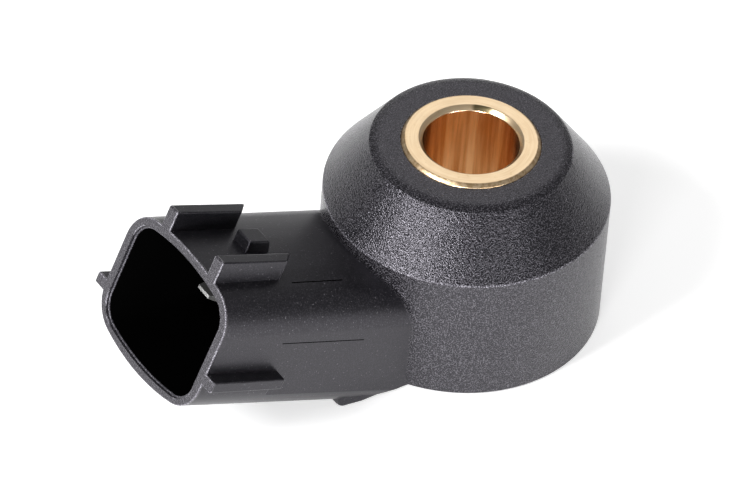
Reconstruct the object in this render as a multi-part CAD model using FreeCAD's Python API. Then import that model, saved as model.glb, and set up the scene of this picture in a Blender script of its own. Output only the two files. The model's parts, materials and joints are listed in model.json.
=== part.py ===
import FreeCAD, Part
import math
import os

from FreeCAD import Placement, Rotation, Vector

# Engine knock sensor, in millimetres.
# The origin is the centre of the bolt hole on the mounting face.
# +Z runs up the bolt hole to the bolt's head, and the plug socket points to -X.

# Brass sleeve that the bolt clamps
bore_diameter = 8.4
sleeve_diameter = 12.26
sleeve_height = 18.4
sleeve_edge_bevel = 0.3
bore_chamfer = 0.4
flange_diameter = 21.2
flange_thickness = 3.0
groove_depth = 0.35
groove_width = 0.7

# Round plastic body moulded over the sleeve
base_recess = 0.05
sleeve_stand_out = 0.3
base_diameter = 25.8
shoulder_diameter = 25.4
shoulder_height = 12.7
crown_diameter = 17.8
crown_flat_diameter = 16.5
crown_drop = 0.3
crown_roll_radius = 2.0
base_edge_bevel = 0.1

# Plug socket, which rises from the body
socket_tilt = 23.25
socket_drop = 0.7
mouth_reach = 33.77
shroud_root = 9.0
shroud_width = 15.3
shroud_height = 12.75
shroud_top_crown = 1.05
shroud_bottom_crown = 1.5
shroud_corner_radius = 3.3
shroud_draft = 1.0
side_wall = 1.05
top_wall = 0.9
socket_depth = 14.5
socket_crown = 0.95
socket_corner_radius = 2.2
rim_bevel = 0.2

# Foot that carries the shroud down to the mounting face
foot_reach = 17.1
foot_root_width = 14.9
foot_waist_width = 14.4
foot_front_width = 13.7
foot_waist_reach = 15.0
foot_corner_radius = 0.5
foot_top = 2.0

# Shallow relief that a mould slide leaves on each side of the shroud
relief_depth = 0.12
relief_front = 8.5
relief_lower_front = 7.87

# Fine groove that the mould's parting leaves behind the near rib
parting_place = 4.6
parting_width = 0.12
parting_depth = 0.1
parting_length = 5.7

# Coding ribs on the shroud, measured back from the mouth
top_rib_inner = 3.0
top_rib_thickness = 1.2
top_rib_height = 8.13
top_rib_length = 7.1
top_rib_far_length = 8.2
side_rib_reach = 8.9
side_rib_thickness = 1.05
side_rib_length = 7.87
near_rib_top = -0.85
far_rib_top = -2.2
rib_edge_radius = 0.15

# Ramp on top of the shroud that the plug's latch snaps over
latch_setback = 5.7
latch_length = 2.2
latch_foot_length = 2.8
latch_width = 2.0
latch_offset = -0.35
latch_height = 7.58

# Clearances and stock shared by the pieces inside
stack_diameter = 20.0
tube_wall = 0.37
insulator_thickness = 0.5
contact_thickness = 0.3
piezo_thickness = 3.0
mass_thickness = 3.8

# Conical spring washer and the ring nut that holds the stack
spring_height = 1.0
spring_thickness = 0.6
spring_diameter = 18.6
spring_clearance = 0.2
nut_diameter = 17.6
nut_thickness = 2.5
nut_slot_count = 4
nut_slot_width = 2.0
nut_slot_depth = 0.9

# Terminals and the contact tabs welded to them
blade_pitch = 4.54
blade_width = 2.2
blade_thickness = 0.64
blade_rise = 0.23
blade_setback = 6.0
blade_clearance = 1.6
blade_tip_length = 0.9
blade_tip_width = 1.66
blade_tip_thickness = 0.3
blade_notch_radius = 0.4
blade_notch_place = 18.7
tab_width = 1.9
tab_overlap = 2.0
tab_bend_clearance = 0.5
lower_tab_clearance = 1.5
upper_tab_clearance = 4.2

# Resistor across the two terminals
resistor_length = 3.3
resistor_diameter = 1.6
resistor_edge_bevel = 0.3
resistor_place = 17.4
resistor_rise = 1.6
lead_diameter = 0.5
lead_overhang = 0.3
ear_width = 1.2
ear_thickness = 0.5

# How far cutting shapes reach past what they cut, and how near an edge must lie to be picked
mouth_margin = 1.0
cut_margin = 2.0
edge_tolerance = 0.01

# Sizes worked out from the ones above
bore_radius = bore_diameter / 2
sleeve_radius = sleeve_diameter / 2
flange_radius = flange_diameter / 2
top_height = sleeve_height - sleeve_stand_out
stack_radius = stack_diameter / 2
stack_bore = sleeve_radius + tube_wall
blade_root = stack_radius + blade_clearance
tab_bend = stack_radius + tab_bend_clearance
lower_tab_start = stack_radius + lower_tab_clearance
upper_tab_start = stack_radius + upper_tab_clearance
tilt = math.radians(socket_tilt)

# Heights of the clamped stack, from the flange up
lower_insulator_base = flange_thickness
lower_contact_base = lower_insulator_base + insulator_thickness
piezo_base = lower_contact_base + contact_thickness
upper_contact_base = piezo_base + piezo_thickness
upper_insulator_base = upper_contact_base + contact_thickness
mass_base = upper_insulator_base + insulator_thickness
spring_base = mass_base + mass_thickness
nut_base = spring_base + spring_height


def socket_frame():
    """Placement whose X runs out of the socket and whose Z is the shroud's up."""
    up = Vector(math.sin(tilt), 0, math.cos(tilt))
    lean = Rotation(Vector(0, 1, 0), socket_tilt)
    about = Rotation(Vector(0, 0, 1), 180)
    return Placement(up * -socket_drop, lean * about)


def tilted(shape):
    """The shape, modelled level along +X, set into the socket's frame."""
    placed = shape.copy()
    placed.Placement = socket_frame()
    return placed


def revolved(points):
    """Solid turned about the bolt axis from (radius, height) points."""
    corners = [Vector(radius, 0, height) for radius, height in points]
    outline = Part.Face(Part.makePolygon(corners + corners[:1]))
    return outline.revolve(Vector(0, 0, 0), Vector(0, 0, 1), 360)


def ring(inner, outer, base, thickness):
    """Flat ring about the bolt axis."""
    return revolved([(inner, base), (outer, base), (outer, base + thickness), (inner, base + thickness)])


def edges_near(shape, chosen):
    """Edges of the shape whose mid-point the given test accepts."""
    return [edge for edge in shape.Edges if chosen(edge.CenterOfMass)]


def block(x_low, x_high, y_low, y_high, z_low, z_high):
    """Box between two corners."""
    size = Vector(x_high - x_low, y_high - y_low, z_high - z_low)
    return Part.makeBox(size.x, size.y, size.z, Vector(x_low, y_low, z_low))


def side_prism(points, y_low, y_high):
    """Outline of (x, z) points, drawn out sideways."""
    corners = [Vector(x, y_low, z) for x, z in points]
    outline = Part.Face(Part.makePolygon(corners + corners[:1]))
    return outline.extrude(Vector(0, y_high - y_low, 0))


def arc(start, middle, end):
    """Round edge through three points."""
    return Part.Arc(start, middle, end).toShape()


def bulge_radius(half_chord, rise):
    """Radius of a shallow arc from half its chord and its rise."""
    return (half_chord ** 2 + rise ** 2) / (2 * rise)


def corner_arc(side, top, corner, crown):
    """Start, middle and end of the corner that rounds a flat side into a bulged top."""
    top_radius = bulge_radius(side, crown)
    middle_y = side - corner
    middle_z = top - top_radius + math.sqrt((top_radius - corner) ** 2 - middle_y ** 2)
    centre = Vector(0, middle_y, middle_z)
    top_centre = Vector(0, 0, top - top_radius)
    start = Vector(0, side, middle_z)
    end = top_centre + (centre - top_centre).normalize() * top_radius
    middle = centre + ((start + end) / 2 - centre).normalize() * corner
    return start, middle, end


def crowned_section(x, width, height, corner, top_crown, bottom_crown):
    """Closed outline across X with flat sides, rounded corners and a bulged top and bottom."""
    edges = []
    starts = []
    for z_sign, crown in ((1, top_crown), (-1, bottom_crown)):
        ends = []
        for y_sign in (-1, 1):
            corner_points = corner_arc(width / 2, height / 2, corner, crown)
            start, middle, end = [Vector(x, y_sign * point.y, z_sign * point.z) for point in corner_points]
            edges.append(arc(start, middle, end))
            starts.append(start)
            ends.append(end)
        edges.append(arc(ends[0], Vector(x, 0, z_sign * height / 2), ends[1]))
    edges.append(Part.makeLine(starts[0], starts[2]))
    edges.append(Part.makeLine(starts[1], starts[3]))
    return Part.Face(Part.Wire(Part.sortEdges(edges)[0]))


def leaning_bar(lean, shrink):
    """Bar of the shroud's section that leans about the middle of the mouth."""
    outline = crowned_section(0, shroud_width - 2 * shrink, shroud_height - 2 * shrink,
                              shroud_corner_radius - shrink, shroud_top_crown, shroud_bottom_crown)
    bar = outline.extrude(Vector(mouth_reach - shroud_root + 2 * mouth_margin, 0, 0))
    bar.translate(Vector(shroud_root - mouth_reach - mouth_margin, 0, 0))
    bar.rotate(Vector(0, 0, 0), Vector(0, 1, 0), lean)
    bar.translate(Vector(mouth_reach, 0, 0))
    return bar


def before_mouth(shape):
    """The shape without what reaches out past the plane of the mouth."""
    return shape.cut(block(mouth_reach, 2 * mouth_reach, -shroud_width, shroud_width,
                           -shroud_width, shroud_width))


def shroud_bar():
    """Outside of the shroud, which grows taller towards the drum by its draft."""
    bar = leaning_bar(shroud_draft, 0).fuse(leaning_bar(-shroud_draft, 0))
    return before_mouth(bar).removeSplitter()


def socket_bar(x_low, spread):
    """Bar of the socket's section from x_low out through the mouth, grown all round by the spread."""
    width = shroud_width - 2 * side_wall + 2 * spread
    height = shroud_height - 2 * top_wall + 2 * spread
    outline = crowned_section(x_low, width, height, socket_corner_radius + spread, socket_crown, socket_crown)
    return outline.extrude(Vector(mouth_reach + mouth_margin - x_low, 0, 0))


def brass_sleeve():
    """Turned sleeve: bolt hole, bottom flange and a groove that grips the plastic."""
    sleeve = revolved([
        (bore_radius, 0),
        (flange_radius, 0),
        (flange_radius, flange_thickness),
        (sleeve_radius, flange_thickness),
        (sleeve_radius, sleeve_height - sleeve_edge_bevel),
        (sleeve_radius - sleeve_edge_bevel, sleeve_height),
        (bore_radius + bore_chamfer, sleeve_height),
        (bore_radius, sleeve_height - bore_chamfer),
    ])
    floor = sleeve_radius - groove_depth
    groove_base = (nut_base + nut_thickness + top_height - groove_width) / 2
    return sleeve.cut(ring(floor, sleeve_radius + cut_margin, groove_base, groove_width))


def insulating_tube():
    """Thin tube that keeps the stack off the sleeve."""
    return ring(sleeve_radius, stack_bore, flange_thickness, spring_base - flange_thickness)


def stack_ring(base, thickness):
    """One full-size ring of the clamped stack."""
    return ring(stack_bore, stack_radius, base, thickness)


def spring_washer():
    """Conical washer that rests on the mass by its rim and holds the nut by its bore."""
    inner = sleeve_radius + spring_clearance
    outer = spring_diameter / 2
    top = spring_base + spring_height
    rise = spring_height - spring_thickness
    land = spring_thickness / 2
    return revolved([
        (inner, spring_base + rise),
        (outer - land, spring_base),
        (outer, spring_base),
        (outer, top - rise),
        (inner + land, top),
        (inner, top),
    ])


def clamp_nut():
    """Round nut on the sleeve, with slots for a pin spanner."""
    rim = nut_diameter / 2
    half = nut_slot_width / 2
    nut = ring(sleeve_radius, rim, nut_base, nut_thickness)
    slot = block(rim - nut_slot_depth, nut_diameter, -half, half,
                 nut_base - cut_margin, nut_base + nut_thickness + cut_margin)
    turn = 360 / nut_slot_count
    slots = [slot.rotated(Vector(0, 0, 0), Vector(0, 0, 1), (index + 0.5) * turn)
             for index in range(nut_slot_count)]
    return nut.cut(slots)


def blade_section(x, width, thickness, centre):
    """Rectangle across a terminal blade."""
    corners = [Vector(x, centre + y * width / 2, blade_rise + z * thickness / 2)
               for y, z in ((-1, -1), (1, -1), (1, 1), (-1, 1))]
    return Part.makePolygon(corners + corners[:1])


def terminal(centre, lead):
    """Flat pin with a coined tip, two locking notches and an ear that holds a resistor lead."""
    tip = mouth_reach - blade_setback
    neck = tip - blade_tip_length
    half = blade_thickness / 2
    bar = block(blade_root, neck, centre - blade_width / 2, centre + blade_width / 2,
                blade_rise - half, blade_rise + half)
    point = Part.makeLoft([
        blade_section(neck, blade_width, blade_thickness, centre),
        blade_section(tip, blade_tip_width, blade_tip_thickness, centre),
    ], True)
    pin = bar.fuse(point).removeSplitter()
    for side in (-1, 1):
        spot = Vector(blade_notch_place, centre + side * blade_width / 2, blade_rise - blade_thickness)
        pin = pin.cut(Part.makeCylinder(blade_notch_radius, 2 * blade_thickness, spot))
    ear = block(resistor_place - ear_width / 2, resistor_place + ear_width / 2,
                centre - ear_thickness / 2, centre + ear_thickness / 2,
                blade_rise + half, blade_rise + resistor_rise)
    return tilted(pin.fuse(ear).removeSplitter()).cut(lead)


def on_socket(along, up):
    """Point (x, z) of the model for a distance along the socket and a height in it."""
    point = socket_frame().multVec(Vector(along, 0, up))
    return point.x, point.z


def bent_strip(points, y_low, y_high):
    """Strip of contact sheet that follows (x, z) points along its middle."""
    middle = [Vector(x, y_low, z) for x, z in points]
    across = [(b - a).cross(Vector(0, 1, 0)).normalize() for a, b in zip(middle, middle[1:])]
    steps = [across[0]]
    for before, after in zip(across, across[1:]):
        mitre = (before + after).normalize()
        steps.append(mitre / mitre.dot(before))
    steps.append(across[-1])
    half = contact_thickness / 2
    upper_side = [point + step * half for point, step in zip(middle, steps)]
    lower_side = [point - step * half for point, step in zip(middle, steps)]
    loop = upper_side + lower_side[::-1]
    return Part.Face(Part.makePolygon(loop + loop[:1])).extrude(Vector(0, y_high - y_low, 0))


def contact_disc(base, tab_points, centre):
    """Contact ring with the tab that reaches out to its terminal."""
    level = base + contact_thickness / 2
    inboard = -(stack_radius + stack_bore) / 2
    points = [(inboard, level), (-tab_bend, level)] + tab_points
    # The socket's own Y runs against the model's Y, so the centre changes sign.
    tab = bent_strip(points, -centre - tab_width / 2, -centre + tab_width / 2)
    return stack_ring(base, contact_thickness).fuse(tab).removeSplitter()


def lower_contact(pin, centre):
    """Lower ring, whose tab bends up under its terminal."""
    under = blade_rise - (blade_thickness + contact_thickness) / 2
    tab_points = [on_socket(lower_tab_start, under), on_socket(lower_tab_start + tab_overlap, under)]
    return contact_disc(lower_contact_base, tab_points, centre).cut(pin)


def upper_contact(pin, centre):
    """Upper ring, whose tab dips onto the top of its terminal."""
    over = blade_rise + (blade_thickness + contact_thickness) / 2
    tab_points = [on_socket(upper_tab_start, over), on_socket(upper_tab_start + tab_overlap, over)]
    return contact_disc(upper_contact_base, tab_points, centre).cut(pin)


def resistor_body():
    """Rounded ceramic barrel that lies across the terminals."""
    start = Vector(resistor_place, -resistor_length / 2, blade_rise + resistor_rise)
    barrel = Part.makeCylinder(resistor_diameter / 2, resistor_length, start, Vector(0, 1, 0))
    ends = [edge for edge in barrel.Edges if isinstance(edge.Curve, Part.Circle)]
    return tilted(barrel.makeChamfer(resistor_edge_bevel, ends))


def resistor_lead(side):
    """Wire from one end of the resistor, across the notch in its terminal's ear."""
    start = Vector(resistor_place, side * resistor_length / 2, blade_rise + resistor_rise)
    length = blade_pitch / 2 + ear_thickness / 2 + lead_overhang - resistor_length / 2
    return tilted(Part.makeCylinder(lead_diameter / 2, length, start, Vector(0, side, 0)))


def round_body():
    """Drum and cone of the housing, before anything is cut from it."""
    body = revolved([
        (0, base_recess),
        (base_diameter / 2 - base_edge_bevel, base_recess),
        (base_diameter / 2, base_recess + base_edge_bevel),
        (shoulder_diameter / 2, shoulder_height),
        (crown_diameter / 2, top_height - crown_drop),
        (crown_flat_diameter / 2, top_height),
        (0, top_height),
    ])
    crown = [edge for edge in body.Edges
             if isinstance(edge.Curve, Part.Circle) and edge.Curve.Center.z > top_height - crown_drop / 2]
    return body.makeFillet(crown_roll_radius, crown)


def below_base():
    """Block that takes away whatever reaches under the plastic's base."""
    return block(-2 * mouth_reach, 0, -shroud_width, shroud_width, -2 * shroud_height, base_recess)


def side_relief(side):
    """Shallow pocket on a side of the shroud, between the slide's parting lines."""
    outline = [
        on_socket(mouth_reach - relief_front, foot_top),
        on_socket(mouth_reach - relief_lower_front, 0),
        on_socket(mouth_reach - relief_lower_front, -shroud_height),
        on_socket(0, -shroud_height),
        on_socket(0, foot_top),
    ]
    floor = shroud_width / 2 - relief_depth
    y_low, y_high = sorted((side * floor, side * shroud_width))
    return side_prism(outline, y_low, y_high)


def parting_groove():
    """Hair-fine groove along the shroud's top, from the near rib's rear end."""
    rear = mouth_reach - top_rib_far_length
    half = parting_width / 2
    sliver = block(rear - parting_length, rear, parting_place - half, parting_place + half, 0, shroud_height)
    return tilted(sliver.cut(leaning_bar(shroud_draft, parting_depth)))


def shroud():
    """Outside of the plug socket's tube, trimmed at the base."""
    return tilted(shroud_bar()).cut([side_relief(-1), side_relief(1), parting_groove(), below_base()])


def foot():
    """Block under the shroud, flat on the mounting side."""
    outline = [
        (0, foot_root_width / 2),
        (-foot_waist_reach, foot_waist_width / 2),
        (-foot_reach, foot_front_width / 2),
        (-foot_reach, -foot_front_width / 2),
        (-foot_waist_reach, -foot_waist_width / 2),
        (0, -foot_root_width / 2),
    ]
    corners = [Vector(x, y, base_recess) for x, y in outline]
    plan = Part.Face(Part.makePolygon(corners + corners[:1]))
    solid = plan.extrude(Vector(0, 0, shoulder_height - base_recess))
    front = edges_near(solid, lambda point: point.x < -foot_reach + edge_tolerance
                       and abs(point.y) > foot_front_width / 2 - edge_tolerance)
    solid = solid.makeFillet(foot_corner_radius, front)
    above = tilted(block(-mouth_reach, 2 * mouth_reach, -shroud_width, shroud_width, foot_top, 3 * shroud_height))
    return solid.cut(above)


def top_rib(side):
    """Tall rib on top of the shroud, flush with the mouth and cut off at a slant behind."""
    y_low, y_high = sorted((side * top_rib_inner, side * (top_rib_inner + top_rib_thickness)))
    root = shroud_height / 2 - shroud_top_crown - top_wall / 2
    outline = [
        Vector(mouth_reach, y_low, root),
        Vector(mouth_reach, y_high, root),
        Vector(mouth_reach - top_rib_length, y_high, root),
        Vector(mouth_reach - top_rib_far_length, y_low, root),
    ]
    plan = Part.Face(Part.makePolygon(outline + outline[:1]))
    rib = plan.extrude(Vector(0, 0, top_rib_height - root))
    rims = edges_near(rib, lambda point: point.z > top_rib_height - edge_tolerance)
    return tilted(rib.makeFillet(rib_edge_radius, rims))


def side_rib(side, top):
    """Low rib on a side of the shroud, flush with the mouth."""
    inner = (shroud_width - side_wall) / 2
    y_low, y_high = sorted((side * inner, side * side_rib_reach))
    rib = block(mouth_reach - side_rib_length, mouth_reach, y_low, y_high, top - side_rib_thickness, top)
    rims = edges_near(rib, lambda point: abs(point.y) > side_rib_reach - edge_tolerance)
    return tilted(rib.makeFillet(rib_edge_radius, rims))


def latch_ramp():
    """Stop on top of the shroud that the plug's latch snaps behind."""
    root = (shroud_height - top_wall) / 2
    front = mouth_reach - latch_setback
    points = [
        (front - latch_foot_length, root),
        (front, root),
        (front, latch_height),
        (front - latch_length, latch_height),
    ]
    low = latch_offset - latch_width / 2
    ramp = side_prism(points, low, low + latch_width)
    rims = edges_near(ramp, lambda point: point.z > latch_height - edge_tolerance)
    return tilted(ramp.makeFillet(rib_edge_radius, rims))


def socket_hollow():
    """Space inside the shroud that takes the plug, with a bevelled mouth."""
    return tilted(socket_bar(mouth_reach - socket_depth, 0).fuse(socket_bar(mouth_reach - rim_bevel, rim_bevel)))


def spring_space():
    """Room round the spring washer, so that it can flex."""
    return ring(sleeve_radius, spring_diameter / 2, spring_base, spring_height)


def housing(inner_pieces):
    """One-piece black moulding: drum, cone, foot, shroud, ribs and socket."""
    outside = round_body().fuse([shroud(), foot()])
    ribs = [top_rib(-1), top_rib(1), side_rib(1, near_rib_top), side_rib(-1, far_rib_top)]
    outside = outside.fuse(ribs + [latch_ramp()])
    shell = outside.cut(socket_hollow())
    inside_wall = (bore_radius + sleeve_radius) / 2
    shell = shell.cut(ring(0, inside_wall, -cut_margin, sleeve_height + 2 * cut_margin))
    return shell.cut(inner_pieces + [spring_space()]).removeSplitter()


def build():
    """Every piece of the sensor by its name."""
    near = blade_pitch / 2
    signal_lead = resistor_lead(1)
    return_lead = resistor_lead(-1)
    pieces = {
        "brass_sleeve": brass_sleeve(),
        "insulating_tube": insulating_tube(),
        "lower_insulator_ring": stack_ring(lower_insulator_base, insulator_thickness),
        "piezo_ring": stack_ring(piezo_base, piezo_thickness),
        "upper_insulator_ring": stack_ring(upper_insulator_base, insulator_thickness),
        "seismic_mass": stack_ring(mass_base, mass_thickness),
        "spring_washer": spring_washer(),
        "clamp_nut": clamp_nut(),
        "signal_terminal": terminal(near, signal_lead),
        "return_terminal": terminal(-near, return_lead),
        "resistor_body": resistor_body(),
        "resistor_signal_lead": signal_lead,
        "resistor_return_lead": return_lead,
    }
    pieces["upper_contact_ring"] = upper_contact(pieces["signal_terminal"], near)
    pieces["lower_contact_ring"] = lower_contact(pieces["return_terminal"], -near)
    pieces["housing"] = housing([piece.copy() for piece in pieces.values()])
    return pieces


os.makedirs("parts", exist_ok=True)
for name, piece in build().items():
    print(name, len(piece.Solids), "solid", round(piece.Volume, 2), "mm3", "valid", piece.isValid())
    piece.Solids[0].exportStep("parts/" + name + ".step")
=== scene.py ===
import json
import math

import bmesh
import bpy
from mathutils import Matrix, Vector


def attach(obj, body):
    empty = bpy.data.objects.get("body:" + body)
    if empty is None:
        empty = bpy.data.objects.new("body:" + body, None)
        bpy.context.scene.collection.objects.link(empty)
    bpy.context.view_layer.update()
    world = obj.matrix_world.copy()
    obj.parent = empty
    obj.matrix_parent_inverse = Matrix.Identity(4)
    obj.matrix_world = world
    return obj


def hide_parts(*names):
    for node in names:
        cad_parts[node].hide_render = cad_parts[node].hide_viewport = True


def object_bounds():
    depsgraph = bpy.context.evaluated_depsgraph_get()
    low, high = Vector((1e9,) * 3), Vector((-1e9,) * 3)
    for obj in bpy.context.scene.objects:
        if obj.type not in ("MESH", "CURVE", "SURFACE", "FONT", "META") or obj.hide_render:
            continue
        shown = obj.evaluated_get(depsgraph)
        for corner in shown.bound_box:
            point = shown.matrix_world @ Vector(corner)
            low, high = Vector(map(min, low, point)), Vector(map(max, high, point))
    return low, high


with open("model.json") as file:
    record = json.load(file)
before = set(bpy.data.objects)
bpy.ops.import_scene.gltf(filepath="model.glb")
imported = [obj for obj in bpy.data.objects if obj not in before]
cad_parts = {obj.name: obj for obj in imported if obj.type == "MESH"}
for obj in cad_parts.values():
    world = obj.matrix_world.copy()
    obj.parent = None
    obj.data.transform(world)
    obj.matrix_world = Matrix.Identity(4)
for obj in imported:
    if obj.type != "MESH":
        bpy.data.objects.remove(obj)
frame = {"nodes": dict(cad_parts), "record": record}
cad_low, cad_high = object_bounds()

MM = 0.001

# Camera of the photograph, found from the bolt hole, the cone and the socket's mouth
PHOTO_WIDTH = 751
FOCAL_PIXELS = 4000
SENSOR_WIDTH = 36.0
CAMERA_TARGET = Vector((-6.108, 4.513, 4.498)) * MM
CAMERA_DISTANCE = 356.634 * MM
CAMERA_AZIMUTH = math.radians(-36.46)
CAMERA_ELEVATION = math.radians(42.58)
CAMERA_ROLL = math.radians(4.29)
NEAREST_SEEN = 0.01
FARTHEST_SEEN = 20

# Soft boxes that look at the middle of the base: name, place, width and height in metres, and watts
LAMPS = (
    ("key_box", (-0.46, 0.0, 0.36), 0.15, 0.15, 3.0),
    ("back_box", (0.40, 0.54, 0.62), 0.6, 0.6, 1.2),
    ("front_box", (-0.49, -0.38, 0.12), 0.16, 0.1, 2.7),
    ("side_box", (-0.05, -0.58, 0.08), 0.3, 0.1, 1.3),
)
ROOM_LIGHT = 0.3

# Pale floor, which lies a little under the piece so that their faces don't share a plane
FLOOR_TONE = (0.85, 0.85, 0.85, 1)
FLOOR_GLOW = 0.5
FLOOR_HALF_WIDTH = 3
FLOOR_DROP = 0.03 * MM
WHITE = (1, 1, 1, 1)
BLACK = (0, 0, 0, 1)

# Numbers of a Mix node's colour sockets: two in and one out
FIRST_COLOUR = 6
SECOND_COLOUR = 7
MIXED_COLOUR = 2

# Places that the record gives as mounts
MOUNTS = {mount["name"]: mount for mount in frame["record"]["mounts"]}
MOUTH = Vector(MOUNTS["plug_socket"]["pos_m"])
SOCKET_AXIS = Vector(MOUNTS["plug_socket"]["axis"])
SOCKET_UP = Vector((0, 1, 0)).cross(SOCKET_AXIS)
BORE_RADIUS = MOUNTS["bolt_bore"]["dims"]["r_mm"]
SEAT_HEIGHT = MOUNTS["bolt_head_seat"]["pos_m"][2] / MM

# Fine edges of the moulding and of the turned sleeve
MOULDED_EDGE = 0.1 * MM
TURNED_EDGE = 0.06 * MM
EDGE_SEGMENTS = 2
SHARP_EDGE = math.radians(25)

# How near two points of the CAD mesh are one, and how little two faces turn to be one
SAME_POINT = 0.03 * MM
FLAT_ANGLE = math.radians(0.5)

# Half the width and height of the socket's hollow, and where the painted shade on its wall starts and ends
HOLLOW_HALF_WIDTH = 6.7 * MM
HOLLOW_HALF_HEIGHT = 5.6 * MM
HOLLOW_START = 0.5 * MM
HOLLOW_DEPTH = 15 * MM

# A hair-fine groove is narrower and longer than this, and its inner edge has this share of its length
GROOVE_WIDTH = 0.15 * MM
GROOVE_LENGTH = 1.5 * MM
GROOVE_SHARE = 0.9

# Dark line painted as the shadow just over the relief's ledge on each side of the shroud: how far over the
# mouth's middle it lies, and how far along the socket's axis it goes
SHROUD_HALF_WIDTH = 7.65 * MM
LINE_LOW = 2.0 * MM
LINE_HIGH = 2.09 * MM
LINE_FRONT = -7.0 * MM
LINE_REAR = -16.2 * MM
SAME_PLANE = MM / 1000

# Black nylon: its own gloss, its tones and the pale fibre ends in it
MOULDING_GLOSS = 1.54
MOULDING_TINT = (0.93, 0.89, 1.0, 1)
MOULDING_ROUGHNESS = 0.33
MOULDING_DARK = (0.002, 0.002, 0.003, 1)
MOULDING_PALE = (0.09, 0.086, 0.097, 1)
# Paler tones of the housing's rounded edges: a painted highlight along them
HIGHLIGHT_EDGE_DARK = (0.02, 0.019, 0.023, 1)
HIGHLIGHT_EDGE_PALE = (0.40, 0.385, 0.43, 1)
FIBRE_END = (0.22, 0.21, 0.23, 1)
# Near-black without gloss: painted shade in the socket's hollow, in hair-fine grooves and on the line over
# the relief's ledge
PAINTED_SHADE_BLACK = (0.0015, 0.0015, 0.0015)

# Its noises: grains to the millimetre, finer layers in them and how strong those are,
# and between which heights of the noise a speck or a fibre end comes up
GRAIN = (7.0, 1.0, 0.6)
SPECKS = (9.0, 0.0)
SPECKS_FROM = (0.52, 0.66)
FIBRES = (6.0, 1.0)
FIBRES_FROM = (0.71, 0.76)
FIBRES_ON_FACES = 0.6
FIBRES_ON_EDGES = 0.3
GRAIN_DEPTH = 0.055 * MM

# How pale the specks are on the socket, and how much more on what is coarse and on the drum, where the extra
# is partly grain and partly painted light from the floor in front
SPECK_TONE = 0.2
COARSE_TONE = 0.25
DRUM_TONE = 0.3

# How much paler the mouth's rim is everywhere, and how much paler the drum is as painted light from the
# floor in front
MOUTH_PALENESS = 0.2
DRUM_PAINTED_LIGHT = 0.05

# How deep the grain is on the socket, and how much deeper on what is coarse and on the drum
SOCKET_GRAIN = 0.15
COARSE_GRAIN = 0.85
DRUM_GRAIN = 0.6

# How much duller a speck is, and how much glossier a coarse surface is between its grains
SPECK_DULLNESS = 0.08
COARSE_GLOSS = 0.12

# In millimetres, where each begins to show and where it shows fully: the round body by radius, the
# drum by height, and the mouth's rim along the socket's axis
ROUND_BODY_EDGE = (13.3, 12.8)
DRUM_EDGE = (12.7, 12.6)
MOUTH_EDGE = (-0.25, -0.15)

# Brass: tones of the turned face, of what stains and dents it, of a dark reflection painted on it, and of
# the drawn bore
FACE_PALE = (0.82, 0.64, 0.42, 1)
FACE_DARK = (0.74, 0.55, 0.34, 1)
STAIN_TONE = (0.55, 0.38, 0.18, 1)
NICK_TONE = (0.42, 0.25, 0.11, 1)
DARK_REFLECTION_TONE = (0.10, 0.085, 0.04, 1)
BORE_DARK = (0.66, 0.37, 0.17, 1)
BORE_PALE = (1.0, 0.76, 0.52, 1)
BRASS_ROUGHNESS = 0.24
CLOUD_ROUGHNESS = 0.16
BORE_GLOSS = 0.1

# Its noises, in the same terms, and how strongly each mark shows
TURNING = (5.0, 3.0, 0.7)
TURNING_FROM = (0.35, 0.65)
DRAWING = (0.9, 3.0, 0.65)
DRAWING_FROM = (0.38, 0.62)
CLOUDS = (0.7, 3.0)
STAINS = (1.6, 2.0)
STAINS_FROM = (0.62, 0.75)
STAIN_SHARE = 0.35
NICKS = (2.6, 3.0, 0.7)
NICKS_FROM = (0.4, 0.62)
NICK_SHARE = 0.7
DARK_REFLECTION_SHARE = 0.9

# How far tool marks stretch along themselves, how deep they are, and their share in the bore
TURNING_STRETCH = 0.25
DRAWING_STRETCH = 0.04
TOOL_MARK_DEPTH = 0.02 * MM
DRAWING_SHARE = 0.5

# The same on the sleeve: its outer bevel by radius and by height, the bore's wall and its chamfer by
# radius, and a painted dark reflection on that chamfer by distance from a point
RIM_EDGE = (5.7, 5.85)
RIM_BOTTOM = (SEAT_HEIGHT - 0.9, SEAT_HEIGHT - 0.7)
BORE_EDGE = (BORE_RADIUS + 0.06, BORE_RADIUS + 0.02)
CHAMFER_EDGE = (BORE_RADIUS + 0.5, BORE_RADIUS + 0.4)
DARK_REFLECTION_SPOT = Vector((3.3, 3.1, SEAT_HEIGHT - 0.2))
DARK_REFLECTION_REACH = (1.1, 0.6)


class Value:
    """A socket of a shader's node, on which plain arithmetic adds Math nodes."""

    def __init__(self, tree, socket):
        self.tree = tree
        self.socket = socket

    def math(self, operation, *others):
        return add_node(self.tree, "ShaderNodeMath", {"operation": operation}, (self, *others))

    def __add__(self, other):
        return self.math("ADD", other)

    __radd__ = __add__

    def __sub__(self, other):
        return self.math("SUBTRACT", other)

    def __rsub__(self, other):
        return add_node(self.tree, "ShaderNodeMath", {"operation": "SUBTRACT"}, (other, self))

    def __mul__(self, other):
        return self.math("MULTIPLY", other)

    __rmul__ = __mul__

    def between(self, start, end):
        """0 before the start, 1 past the end, and a smooth rise from one to the other."""
        settings = {"interpolation_type": "SMOOTHSTEP"}
        return add_node(self.tree, "ShaderNodeMapRange", settings, (self, start, end))


def add_node(tree, kind, settings=None, inputs=(), output=0):
    """New node with its settings made and its sockets filled, by order or by name."""
    node = tree.nodes.new(kind)
    for name, setting in (settings or {}).items():
        setattr(node, name, setting)
    named = inputs.items() if isinstance(inputs, dict) else enumerate(inputs)
    for key, value in named:
        if isinstance(value, Value):
            tree.links.new(value.socket, node.inputs[key])
        else:
            node.inputs[key].default_value = value
    return Value(tree, node.outputs[output])


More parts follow.
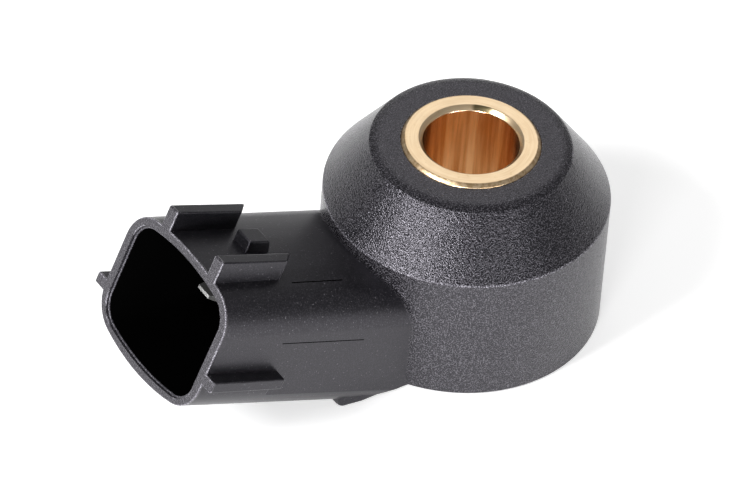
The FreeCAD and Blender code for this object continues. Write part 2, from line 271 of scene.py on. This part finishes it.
def new_material(name, **constants):
    """Material with one Principled shader, whose unchanging values are set on its own sockets."""
    material = bpy.data.materials.new(name)
    material.use_nodes = True
    shader = material.node_tree.nodes["Principled BSDF"]
    for socket, value in constants.items():
        shader.inputs[socket.replace("_", " ")].default_value = value
    return material, material.node_tree, shader


def feed(tree, shader, socket, value):
    tree.links.new(value.socket, shader.inputs[socket])


def place_mm(tree):
    """Where a point lies on the object, in millimetres."""
    place = add_node(tree, "ShaderNodeTexCoord", output="Object")
    return add_node(tree, "ShaderNodeVectorMath", {"operation": "SCALE"}, {0: place, "Scale": 1 / MM})


def grain(tree, place, per_mm, detail=2.0, roughness=0.5):
    """Noise with so many grains to the millimetre."""
    inputs = {"Vector": place, "Scale": per_mm, "Detail": detail, "Roughness": roughness}
    return add_node(tree, "ShaderNodeTexNoise", {"noise_dimensions": "3D"}, inputs, output="Fac")


def around_bolt(tree, place):
    """Distance from the bolt's axis, angle round it and height, for a point in millimetres."""
    split = add_node(tree, "ShaderNodeSeparateXYZ", None, (place,))
    x, y, height = [Value(tree, output) for output in split.socket.node.outputs]
    return (x * x + y * y).math("SQRT"), y.math("ARCTAN2", x), height


def beyond(tree, place, point, direction):
    """How far past a point a place lies, measured along a direction."""
    out = add_node(tree, "ShaderNodeVectorMath", {"operation": "SUBTRACT"}, (place, point))
    return add_node(tree, "ShaderNodeVectorMath", {"operation": "DOT_PRODUCT"}, (out, direction),
                    output="Value")


def apart(tree, place, point):
    """How far a place lies from a point."""
    return add_node(tree, "ShaderNodeVectorMath", {"operation": "DISTANCE"}, (place, point), output="Value")


def joined(tree, *parts):
    return add_node(tree, "ShaderNodeCombineXYZ", None, parts)


def mixed_colour(tree, share, first, second):
    inputs = {"Factor": share, FIRST_COLOUR: first, SECOND_COLOUR: second}
    return add_node(tree, "ShaderNodeMix", {"data_type": "RGBA"}, inputs, output=MIXED_COLOUR)


def bumped(tree, height, depth):
    """Normal of a surface with this relief, from 0 to 1, that is so many metres deep."""
    return add_node(tree, "ShaderNodeBump", None, {"Height": height, "Distance": depth}, output="Normal")


def black_moulding(name, dark, pale, fibre_share):
    """Black nylon: coarser and paler grain on the round body and the mouth's rim than on the socket, the
    mouth's rim paler overall, and the drum painted paler as light from the floor in front.
    """
    material, tree, shader = new_material(name, IOR=MOULDING_GLOSS, Specular_Tint=MOULDING_TINT)
    place = place_mm(tree)
    radius, _, height = around_bolt(tree, place)
    at_mouth = beyond(tree, place, MOUTH / MM, SOCKET_AXIS).between(*MOUTH_EDGE)
    round_body = radius.between(*ROUND_BODY_EDGE)
    coarse = round_body.math("MAXIMUM", at_mouth)
    drum = round_body * height.between(*DRUM_EDGE)
    fine = grain(tree, place, *GRAIN)
    speck = grain(tree, place, *SPECKS).between(*SPECKS_FROM)
    fibre = grain(tree, place, *FIBRES).between(*FIBRES_FROM)
    # On the drum the specks are paler partly for its grain and partly as painted light, and the drum's own
    # extra paleness is painted light from the floor in front
    speckled = speck * (SPECK_TONE + coarse * COARSE_TONE + drum * DRUM_TONE)
    shade = mixed_colour(tree, speckled + at_mouth * MOUTH_PALENESS + drum * DRUM_PAINTED_LIGHT, dark, pale)
    feed(tree, shader, "Base Color", mixed_colour(tree, fibre * fibre_share, shade, FIBRE_END))
    roughness = MOULDING_ROUGHNESS + speck * SPECK_DULLNESS - coarse * COARSE_GLOSS
    feed(tree, shader, "Roughness", roughness)
    relief = fine * (SOCKET_GRAIN + coarse * COARSE_GRAIN + drum * DRUM_GRAIN)
    feed(tree, shader, "Normal", bumped(tree, relief, GRAIN_DEPTH))
    return material


def turned_brass():
    """Brass with turning lines on its end face, drawing lines down its bore and a dark reflection painted on
    the bore's chamfer.
    """
    material, tree, shader = new_material("turned_brass", Metallic=1.0)
    place = place_mm(tree)
    radius, angle, height = around_bolt(tree, place)
    in_bore = radius.between(*BORE_EDGE)
    turned = grain(tree, joined(tree, radius, angle * TURNING_STRETCH, height), *TURNING)
    drawn = grain(tree, joined(tree, angle * BORE_RADIUS, height * DRAWING_STRETCH, 0.0), *DRAWING)
    cloud = grain(tree, place, *CLOUDS)
    stain = grain(tree, place, *STAINS).between(*STAINS_FROM)
    at_rim = radius.between(*RIM_EDGE) * height.between(*RIM_BOTTOM)
    nick = grain(tree, place, *NICKS).between(*NICKS_FROM) * at_rim
    # Dark patch on the chamfer: a painted reflection of something dark
    dark_reflection = apart(tree, place, DARK_REFLECTION_SPOT).between(*DARK_REFLECTION_REACH) * radius.between(*CHAMFER_EDGE)
    face = mixed_colour(tree, turned.between(*TURNING_FROM), FACE_PALE, FACE_DARK)
    face = mixed_colour(tree, stain * STAIN_SHARE, face, STAIN_TONE)
    face = mixed_colour(tree, nick * NICK_SHARE, face, NICK_TONE)
    face = mixed_colour(tree, dark_reflection * DARK_REFLECTION_SHARE, face, DARK_REFLECTION_TONE)
    wall = mixed_colour(tree, drawn.between(*DRAWING_FROM), BORE_DARK, BORE_PALE)
    feed(tree, shader, "Base Color", mixed_colour(tree, in_bore, face, wall))
    feed(tree, shader, "Roughness", BRASS_ROUGHNESS + cloud * CLOUD_ROUGHNESS - in_bore * BORE_GLOSS)
    relief = turned * (1.0 - in_bore) + drawn * in_bore * DRAWING_SHARE
    feed(tree, shader, "Normal", bumped(tree, relief, TOOL_MARK_DEPTH))
    return material


def plain(name, colour, **constants):
    return new_material(name, Base_Color=(*colour, 1), **constants)[0]


def in_hollow(face):
    """Whether a face is a wall of the plug socket's hollow, behind its mouth."""
    out = face.calc_center_median() - MOUTH
    along = out.dot(SOCKET_AXIS)
    across = out - SOCKET_AXIS * along
    looks_in = face.normal.dot(SOCKET_AXIS * MM - across) > 0
    return (looks_in and -HOLLOW_DEPTH < along < -HOLLOW_START and abs(out.y) < HOLLOW_HALF_WIDTH
            and abs(out.dot(SOCKET_UP)) < HOLLOW_HALF_HEIGHT)


def in_groove(face):
    """Whether a face is the wall or floor of a hair-fine groove or step."""
    longest = max(edge.calc_length() for edge in face.edges)
    deep = any(not edge.is_convex and edge.calc_face_angle(0) > SHARP_EDGE
               and edge.calc_length() > GROOVE_SHARE * longest for edge in face.edges)
    return deep and longest > GROOVE_LENGTH and face.calc_area() / longest < GROOVE_WIDTH


def between_planes(body, faces, direction, low, high):
    """Strip of these faces between two planes, which lie so far from the mouth along a direction."""
    for distance in (low, high):
        parts = {part for face in faces for part in (face, *face.edges, *face.verts)}
        cut = bmesh.ops.bisect_plane(body, geom=list(parts), dist=SAME_PLANE,
                                     plane_co=MOUTH + direction * distance, plane_no=direction)
        faces = [part for part in cut["geom"] if isinstance(part, bmesh.types.BMFace)]
    return [face for face in faces if low < (face.calc_center_median() - MOUTH).dot(direction) < high]


def ledge_shadow_lines(body):
    """Hair-fine faces just over the relief's ledge on both sides of the shroud, which get a painted shadow
    line.
    """
    sides = [face for face in body.faces
             if abs(abs(face.calc_center_median().y) - SHROUD_HALF_WIDTH) < SAME_POINT
             and face.calc_area() > (LINE_HIGH - LINE_LOW) ** 2]
    strips = between_planes(body, sides, SOCKET_UP, LINE_LOW, LINE_HIGH)
    return between_planes(body, strips, SOCKET_AXIS, LINE_REAR, LINE_FRONT)


def painted_shade_places(body):
    """Faces painted near-black as shade: the socket's hollow, hair-fine grooves and the line over the
    relief's ledge.
    """
    lines = ledge_shadow_lines(body)
    return {face for face in body.faces if in_hollow(face) or in_groove(face)}.union(lines)


def narrowest(edge):
    """Width of the narrower of the faces along an edge."""
    return min(face.calc_area() for face in edge.link_faces) / edge.calc_length()


def round_edges(body, width):
    """Rounds the sharp outer edges a little and gives the new faces."""
    sharp = [edge for edge in body.edges
             if edge.is_convex and edge.calc_face_angle(0) > SHARP_EDGE and narrowest(edge) > 2 * width]
    rounded = bmesh.ops.bevel(body, geom=sharp, offset=width, offset_type="OFFSET",
                              segments=EDGE_SEGMENTS, profile=0.5, affect="EDGES", clamp_overlap=False,
                              material=-1)
    return rounded["faces"]


def keep_in_cad_box(body):
    for corner in body.verts:
        corner.co = [min(max(corner.co[i], cad_low[i]), cad_high[i]) for i in range(3)]


def rounded_copy(node, name, width, materials, shade_faces=None):
    """Copy of a CAD piece with its outer edges rounded a little, which stands for it.

    The materials are those of its faces, of its rounded edges, which on the housing are paler as a painted
    highlight, and of its places painted near-black as shade.
    """
    body = bmesh.new()
    body.from_mesh(frame["nodes"][node].data)
    bmesh.ops.remove_doubles(body, verts=body.verts, dist=SAME_POINT)
    bmesh.ops.dissolve_limit(body, angle_limit=FLAT_ANGLE, verts=body.verts, edges=body.edges)
    rounded = round_edges(body, width)
    keep_in_cad_box(body)
    for face in rounded:
        face.material_index = 1
    on_round = {edge for face in rounded for edge in face.edges}
    dark = shade_faces(body) if shade_faces else ()
    for edge in body.edges:
        edge.smooth = edge.calc_face_angle(0) < SHARP_EDGE or (edge.is_convex and edge in on_round)
    for face in body.faces:
        face.smooth = True
    for face in dark:
        face.material_index = 2
    mesh = bpy.data.meshes.new(name)
    body.to_mesh(mesh)
    body.free()
    for material in materials:
        mesh.materials.append(material)
    piece = bpy.data.objects.new(name, mesh)
    bpy.context.scene.collection.objects.link(piece)
    even = piece.modifiers.new("even_shading", "WEIGHTED_NORMAL")
    even.keep_sharp = True
    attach(piece, "root")
    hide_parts(node)
    return piece


def paint(piece, material):
    piece.data.materials.clear()
    piece.data.materials.append(material)


def soft_box(name, place, width, height, power):
    """Area lamp that looks at the middle of the base."""
    lamp = bpy.data.lights.new(name, "AREA")
    lamp.shape = "RECTANGLE"
    lamp.size = width
    lamp.size_y = height
    lamp.energy = power
    holder = bpy.data.objects.new(name, lamp)
    holder.location = place
    holder.rotation_euler = (-Vector(place)).to_track_quat("-Z", "Y").to_euler()
    bpy.context.scene.collection.objects.link(holder)


def camera():
    data = bpy.data.cameras.new("photo_camera")
    data.sensor_width = SENSOR_WIDTH
    data.lens = FOCAL_PIXELS / PHOTO_WIDTH * SENSOR_WIDTH
    data.clip_start = NEAREST_SEEN
    data.clip_end = FARTHEST_SEEN
    holder = bpy.data.objects.new("photo_camera", data)
    turn = (Matrix.Rotation(CAMERA_AZIMUTH, 4, "Z") @ Matrix.Rotation(math.pi / 2 - CAMERA_ELEVATION, 4, "X")
            @ Matrix.Rotation(CAMERA_ROLL, 4, "Z"))
    back = turn @ Vector((0, 0, 1))
    holder.matrix_world = Matrix.Translation(CAMERA_TARGET + back * CAMERA_DISTANCE) @ turn
    bpy.context.scene.collection.objects.link(holder)
    bpy.context.scene.camera = holder


def seen_directly(tree):
    """1 for rays that show the surroundings as they look: from the camera, a gloss or glass."""
    path = add_node(tree, "ShaderNodeLightPath")
    outputs = path.socket.node.outputs
    camera_ray = Value(tree, outputs["Is Camera Ray"])
    glossy_ray = Value(tree, outputs["Is Glossy Ray"])
    clear_ray = Value(tree, outputs["Is Transmission Ray"])
    return camera_ray.math("MAXIMUM", glossy_ray).math("MAXIMUM", clear_ray)


def pale_room():
    world = bpy.data.worlds.new("pale_room")
    bpy.context.scene.world = world
    world.use_nodes = True
    back = world.node_tree.nodes["Background"]
    back.inputs["Color"].default_value = WHITE
    back.inputs["Strength"].default_value = ROOM_LIGHT


def pale_floor():
    material, tree, shader = new_material("pale_floor", Base_Color=FLOOR_TONE, Roughness=0.9,
                                          Specular_IOR_Level=0.0, Emission_Strength=1.0)
    glow = mixed_colour(tree, seen_directly(tree) * FLOOR_GLOW, BLACK, WHITE)
    feed(tree, shader, "Emission Color", glow)
    sheet = bmesh.new()
    bmesh.ops.create_grid(sheet, x_segments=1, y_segments=1, size=FLOOR_HALF_WIDTH)
    mesh = bpy.data.meshes.new("floor")
    sheet.to_mesh(mesh)
    sheet.free()
    floor = bpy.data.objects.new("floor", mesh)
    floor.location.z = -FLOOR_DROP
    bpy.context.scene.collection.objects.link(floor)
    paint(floor, material)


camera()
pale_room()
pale_floor()
for lamp_row in LAMPS:
    soft_box(*lamp_row)
bpy.context.scene.view_settings.view_transform = "Standard"

moulding = black_moulding("black_moulding", MOULDING_DARK, MOULDING_PALE, FIBRES_ON_FACES)
# The housing's rounded edges are paler, a painted highlight along them
edge_highlight = black_moulding("painted_edge_highlight", HIGHLIGHT_EDGE_DARK, HIGHLIGHT_EDGE_PALE, FIBRES_ON_EDGES)
brass = turned_brass()
# Near-black, matte and glossless: painted shade for the socket's hollow, hair-fine grooves and the line over
# the relief's ledge
painted_shade = plain("painted_near_black_shade", PAINTED_SHADE_BLACK, Roughness=0.9, Specular_IOR_Level=0.0)
SLOT_MATERIALS = {
    "black_moulding": moulding,
    "turned_brass": brass,
    "insulator": plain("insulator", (0.82, 0.68, 0.4), Roughness=0.4),
    "contact_sheet": plain("contact_sheet", (0.75, 0.6, 0.35), Metallic=1.0, Roughness=0.3),
    "piezo_ceramic": plain("piezo_ceramic", (0.72, 0.7, 0.62), Roughness=0.3),
    "steel": plain("steel", (0.5, 0.5, 0.5), Metallic=1.0, Roughness=0.35),
    "spring_steel": plain("spring_steel", (0.35, 0.34, 0.33), Metallic=1.0, Roughness=0.3),
    "tinned_terminal": plain("tinned_terminal", (0.97, 0.97, 0.96), Metallic=1.0, Roughness=0.4),
    "resistor_glaze": plain("resistor_glaze", (0.55, 0.45, 0.32), Roughness=0.25),
}
for row in frame["record"]["subparts"]:
    paint(frame["nodes"][row["node"]], SLOT_MATERIALS[row["material_slot"]])

housing = rounded_copy("housing", "moulded_housing", MOULDED_EDGE, (moulding, edge_highlight, painted_shade), painted_shade_places)
sleeve = rounded_copy("brass_sleeve", "turned_sleeve", TURNED_EDGE, (brass, brass))

bpy.context.view_layer.update()
